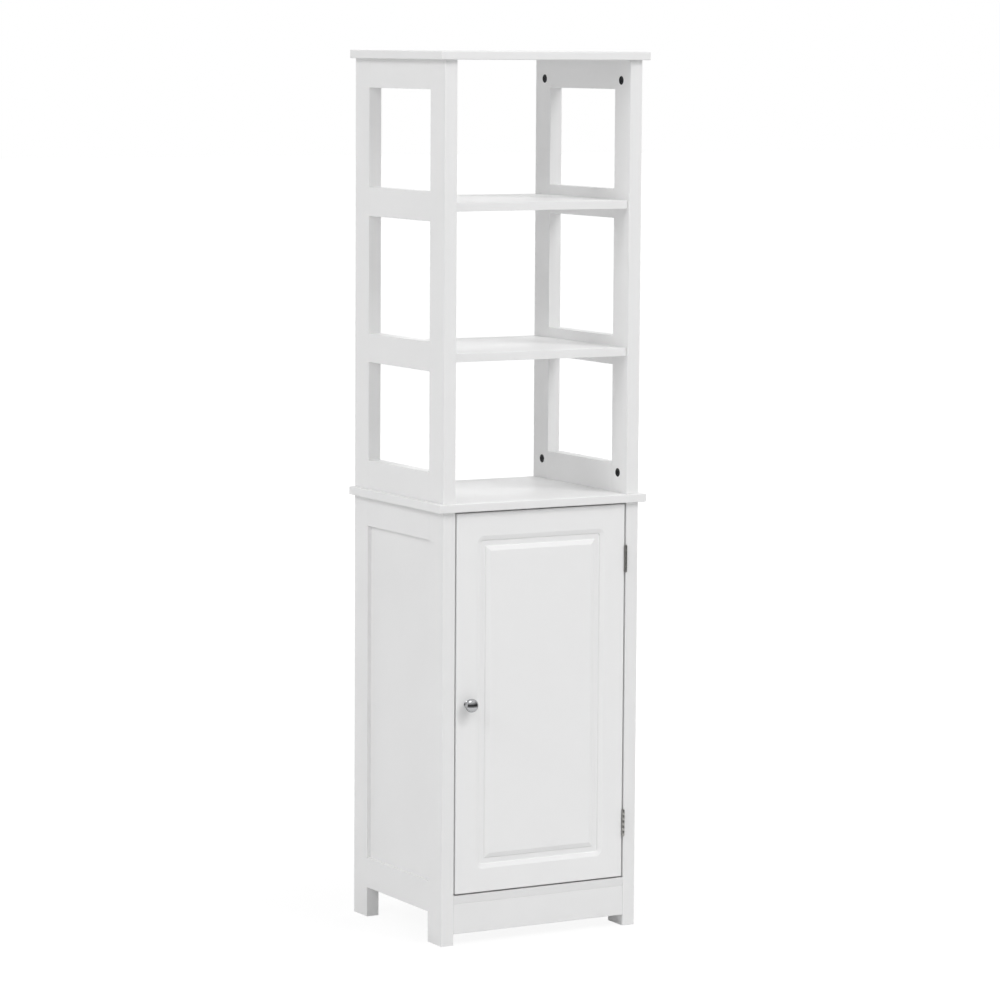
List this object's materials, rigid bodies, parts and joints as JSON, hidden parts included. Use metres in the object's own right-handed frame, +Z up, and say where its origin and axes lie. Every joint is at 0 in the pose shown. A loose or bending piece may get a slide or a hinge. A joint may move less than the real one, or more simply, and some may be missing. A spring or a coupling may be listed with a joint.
{
  "type": "column cabinet",
  "caption": "Tall narrow bathroom cabinet: open shelves between ladder side frames over a cupboard on legs with a hinged raised-panel door and round knob.",
  "frame": {"origin": "on the floor, at the middle of the cabinet's bounding box, knob included", "axes": "+Z up, +Y towards the back of the cabinet, +X to the right seen from the front; the door faces -Y"},
  "size_m": [0.4, 0.3404, 1.49],
  "materials": {
    "painted_board": "satin white paint on fibreboard",
    "knob_chrome": "polished chrome plate",
    "hinge_steel": "nickel plate, satin",
    "zinc_fittings": "zinc die casting, dull",
    "plated_steel": "zinc plate",
    "white_plastic": "moulded",
    "dark_magnet": "ferrite, dull",
    "dowel_beech": "bare, fluted in use"
  },
  "bodies": {
    "cabinet": {"back_panel": "painted_board", "bottom_board": "painted_board", "cam_bolts": "zinc_fittings", "cam_nuts": "zinc_fittings", "catch_housing": "white_plastic", "catch_magnet": "dark_magnet", "catch_poles": "plated_steel", "catch_screws": "plated_steel", "double_cam_bolts": "zinc_fittings", "front_base_rail": "painted_board", "hinge_frame_screws": "plated_steel", "inner_shelf": "painted_board", "left_back_leg": "painted_board", "left_front_leg": "painted_board", "left_side_bottom_rail": "painted_board", "left_side_panel": "painted_board", "left_side_top_rail": "painted_board", "left_upper_back_stile": "painted_board", "left_upper_bottom_rail": "painted_board", "left_upper_front_stile": "painted_board", "left_upper_high_rail": "painted_board", "left_upper_low_rail": "painted_board", "left_upper_top_rail": "painted_board", "lower_hinge_frame_leaf": "hinge_steel", "lower_hinge_pin": "hinge_steel", "lower_open_shelf": "painted_board", "middle_board": "painted_board", "right_back_leg": "painted_board", "right_front_leg": "painted_board", "right_side_bottom_rail": "painted_board", "right_side_panel": "painted_board", "right_side_top_rail": "painted_board", "right_upper_back_stile": "painted_board", "right_upper_bottom_rail": "painted_board", "right_upper_front_stile": "painted_board", "right_upper_high_rail": "painted_board", "right_upper_low_rail": "painted_board", "right_upper_top_rail": "painted_board", "shelf_pins": "plated_steel", "top_board": "painted_board", "upper_hinge_frame_leaf": "hinge_steel", "upper_hinge_pin": "hinge_steel", "upper_open_shelf": "painted_board", "wood_dowels": "dowel_beech"},
    "door": {"door": "painted_board", "hinge_door_screws": "plated_steel", "knob": "knob_chrome", "knob_screw": "plated_steel", "lower_hinge_door_leaf": "hinge_steel", "strike_plate": "plated_steel", "strike_screw": "plated_steel", "upper_hinge_door_leaf": "hinge_steel"}
  },
  "joints": [
    {"name": "door_hinge", "type": "hinge", "parent": "cabinet", "child": "door", "pos_m": [0.164, -0.14845, 0.40725], "axis": [0, 0, 1], "range_deg": [0, 180]}
  ]
}
